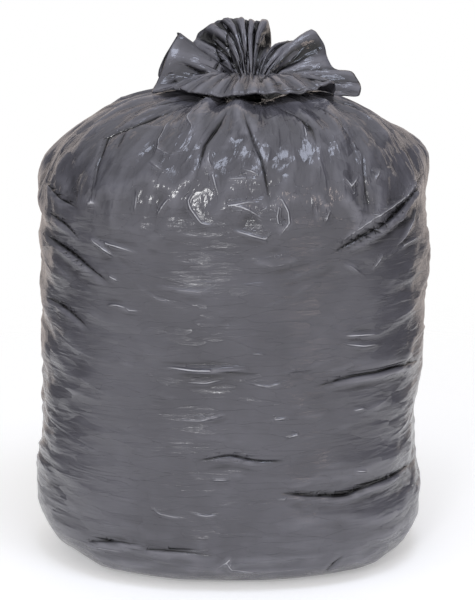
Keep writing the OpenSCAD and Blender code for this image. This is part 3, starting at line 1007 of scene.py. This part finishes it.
patch = node(tree, "TexNoise", Vector=place, Scale=PATCHES_PER_M, Detail=3.0, Roughness=0.6).outputs["Fac"]
patches = node(tree, "ValToRGB", Fac=patch)
patches.color_ramp.elements[0].position, patches.color_ramp.elements[1].position = 0.35, 0.7
patches.color_ramp.elements[0].color = linear("#4C4B51")
patches.color_ramp.elements[1].color = linear("#59585F")
hollow_mm = node(tree, "Attribute", {"attribute_name": "hollow"}).outputs["Fac"]
# painted shade: darker where the film lies below its neighbours
painted_hollow_shade = node(tree, "MapRange", Value=hollow_mm, From_Min=0.12, From_Max=1.0, To_Max=0.9).outputs[0]
# painted light: paler on crests
painted_crest_light = node(tree, "MapRange", Value=hollow_mm, From_Min=-0.2, From_Max=-1.0, To_Max=0.8).outputs[0]
colours = {"data_type": "RGBA"}
with_painted_crest_light = node(tree, "Mix", colours, Factor=painted_crest_light, _6=patches.outputs[0], _7=linear("#74737B"))
with_painted_glint = node(tree, "Mix", colours, Factor=white, _6=with_painted_crest_light.outputs[2], _7=linear("#CDCDD3"))
painted_shade_share = node(tree, "Math", {"operation": "MULTIPLY_ADD"}, _0=depth, _1=core, _2=painted_hollow_shade)
painted_shade_share.use_clamp = True
# painted shade: crease cores and hollows are mixed towards this black
black = linear("#0C0B0C")
shaded = node(tree, "Mix", colours, Factor=painted_shade_share.outputs[0], _6=with_painted_glint.outputs[2], _7=black)
tree.links.new(shaded.outputs[2], shader.inputs["Base Color"])
shader.inputs["Roughness"].default_value = 0.17
shader.inputs["IOR"].default_value = 1.51
film.data.materials.clear()
film.data.materials.append(blown_film)
print(blown_film.name, "has", len(tree.nodes), "nodes")

# %% [markdown]
# ### The tie
# It is thin steel wire between two strips of black PVC that are rolled together. Rolled PVC is matt with a
# fine grain. The grain is 0.5 mm here, which is coarser than the real one, so that it shows at all.

# %% Tie material
GRAIN = 0.5 * MM

tie_plastic, tree, shader = new_material("black_rolled_pvc_over_wire")
spot = node(tree, "TexCoord").outputs["Object"]
grain = node(tree, "TexNoise", Vector=spot, Scale=1 / GRAIN, Detail=2.0).outputs["Fac"]
shade = node(tree, "Mix", colours, Factor=grain, _6=linear("#242426"), _7=linear("#343437"))
tree.links.new(shade.outputs[2], shader.inputs["Base Color"])
grain_bump = node(tree, "Bump", Strength=0.5, Distance=0.0002, Height=grain).outputs[0]
tree.links.new(grain_bump, shader.inputs["Normal"])
shader.inputs["Roughness"].default_value = 0.55
tie = frame["nodes"]["neck_tie"]
tie.data.materials.clear()
tie.data.materials.append(tie_plastic)
print(tie_plastic.name, "has", len(tree.nodes), "nodes")

# %% [markdown]
# ## Floor, background and light
# The picture has a white background with a soft shadow. A white wall would turn grey in its corners, so
# only a disc of white painted floor is there, which carries the shadow. It fades out into a world that the
# camera sees as white, and glows a little so that its edge doesn't show.

# %% Floor that fades into a white background
FLOOR_R, FADE_FROM, FADE_TO = 3.0, 0.45, 1.6

floor_net = bmesh.new()
bmesh.ops.create_circle(floor_net, cap_ends=True, segments=96, radius=FLOOR_R)
floor = bpy.data.objects.new("floor", bpy.data.meshes.new("floor"))
floor_net.to_mesh(floor.data)
floor_net.free()
bpy.context.scene.collection.objects.link(floor)
sweep, tree, shader = new_material("white_painted_floor")
shader.inputs["Base Color"].default_value = linear("#FDFDFD")
shader.inputs["Roughness"].default_value = 0.8
shader.inputs["Specular IOR Level"].default_value = 0.1
shader.inputs["Emission Color"].default_value = (1, 1, 1, 1)
shader.inputs["Emission Strength"].default_value = 0.3
spot = node(tree, "TexCoord").outputs["Object"]
reach = node(tree, "VectorMath", {"operation": "LENGTH"}, _0=spot).outputs["Value"]
fade = node(tree, "MapRange", soft, Value=reach, From_Min=FADE_FROM, From_Max=FADE_TO).outputs[0]
clear = node(tree, "BsdfTransparent").outputs[0]
mixed = node(tree, "MixShader", _0=fade, _1=shader.outputs[0], _2=clear)
tree.links.new(mixed.outputs[0], tree.nodes["Material Output"].inputs["Surface"])
floor.data.materials.append(sweep)
print("floor", round(2 * max(v.co.x for v in floor.data.vertices), 1), "m across")

# %% [markdown]
# Glossy film shows its surroundings. The edges of the real bag are light, because they mirror a slightly
# warm wall behind it at a grazing angle. Next to them the film is dark, because it mirrors a dim room at
# the sides, and the middle mirrors what is bright in front. So the world's strength depends on the
# direction: bright in front and above, dim at the sides, and bright again straight behind.

# %% World
world = bpy.data.worlds.new("studio")
bpy.context.scene.world = world
world.use_nodes = True
tree = world.node_tree
background = tree.nodes["Background"]
way = node(tree, "TexCoord").outputs["Generated"]
way = node(tree, "SeparateXYZ", _0=way)
depthwise, upwards = way.outputs["Y"], way.outputs["Z"]
in_front = node(tree, "MapRange", soft, Value=depthwise, From_Min=0.1, From_Max=-0.55, To_Max=0.85)
behind = node(tree, "MapRange", soft, Value=depthwise, From_Min=0.70, From_Max=0.76, To_Max=0.95)
above = node(tree, "MapRange", soft, Value=upwards, From_Min=0.35, From_Max=0.95, To_Max=0.7)
brightest = in_front.outputs[0]
for part in (behind, above):
    brighter = node(tree, "Math", {"operation": "MAXIMUM"}, _0=brightest, _1=part.outputs[0])
    brightest = brighter.outputs[0]
glow = node(tree, "Math", {"operation": "ADD"}, _0=brightest, _1=0.03).outputs[0]
tree.links.new(glow, background.inputs["Strength"])
warm = linear("#E3D6CF")
tint = node(tree, "Mix", colours, Factor=behind.outputs[0], _6=(1, 1, 1, 1), _7=warm)
tree.links.new(tint.outputs[2], background.inputs["Color"])
plain = node(tree, "Background", Color=(1, 1, 1, 1), Strength=1.0)
seen = node(tree, "LightPath").outputs["Is Camera Ray"]
chosen = node(tree, "MixShader", _0=seen, _1=background.outputs[0], _2=plain.outputs[0])
tree.links.new(chosen.outputs[0], tree.nodes["World Output"].inputs["Surface"])
print("world:", len(tree.nodes), "nodes")

# %% [markdown]
# Two soft lamps and a narrow one give the glints: one high in front on the left, a wide and slightly blue
# one from above, which the shoulder mirrors, and a warm strip on the right.


# %% Lamps
def soft_lamp(name, place, aim, size, power, tint="#FFFFFF"):
    """An area lamp at a place, turned towards a point."""
    lamp = bpy.data.lights.new(name, "AREA")
    lamp.shape, lamp.size, lamp.size_y = "RECTANGLE", *size
    lamp.energy, lamp.color = power, linear(tint)[:3]
    held = bpy.data.objects.new(name, lamp)
    held.location = place
    held.rotation_mode = "QUATERNION"
    held.rotation_quaternion = (Vector(aim) - Vector(place)).to_track_quat("-Z", "Y")
    bpy.context.scene.collection.objects.link(held)


soft_lamp("front_softbox", (-0.6, -2.7, 1.35), (0, 0, 0.35), (0.45, 0.25), 11)
soft_lamp("top_softbox", (0.2, -0.9, 2.3), (0, 0, 0.4), (0.9, 0.6), 12, "#DFE8FF")
soft_lamp("right_strip", (1.5, -2.2, 0.9), (0, 0, 0.35), (0.12, 0.5), 2.5, "#FFE9DC")
bpy.context.scene.view_settings.view_transform = "Standard"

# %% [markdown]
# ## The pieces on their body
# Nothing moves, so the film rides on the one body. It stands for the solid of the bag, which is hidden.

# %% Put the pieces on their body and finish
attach(film, "root")
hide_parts("bag")
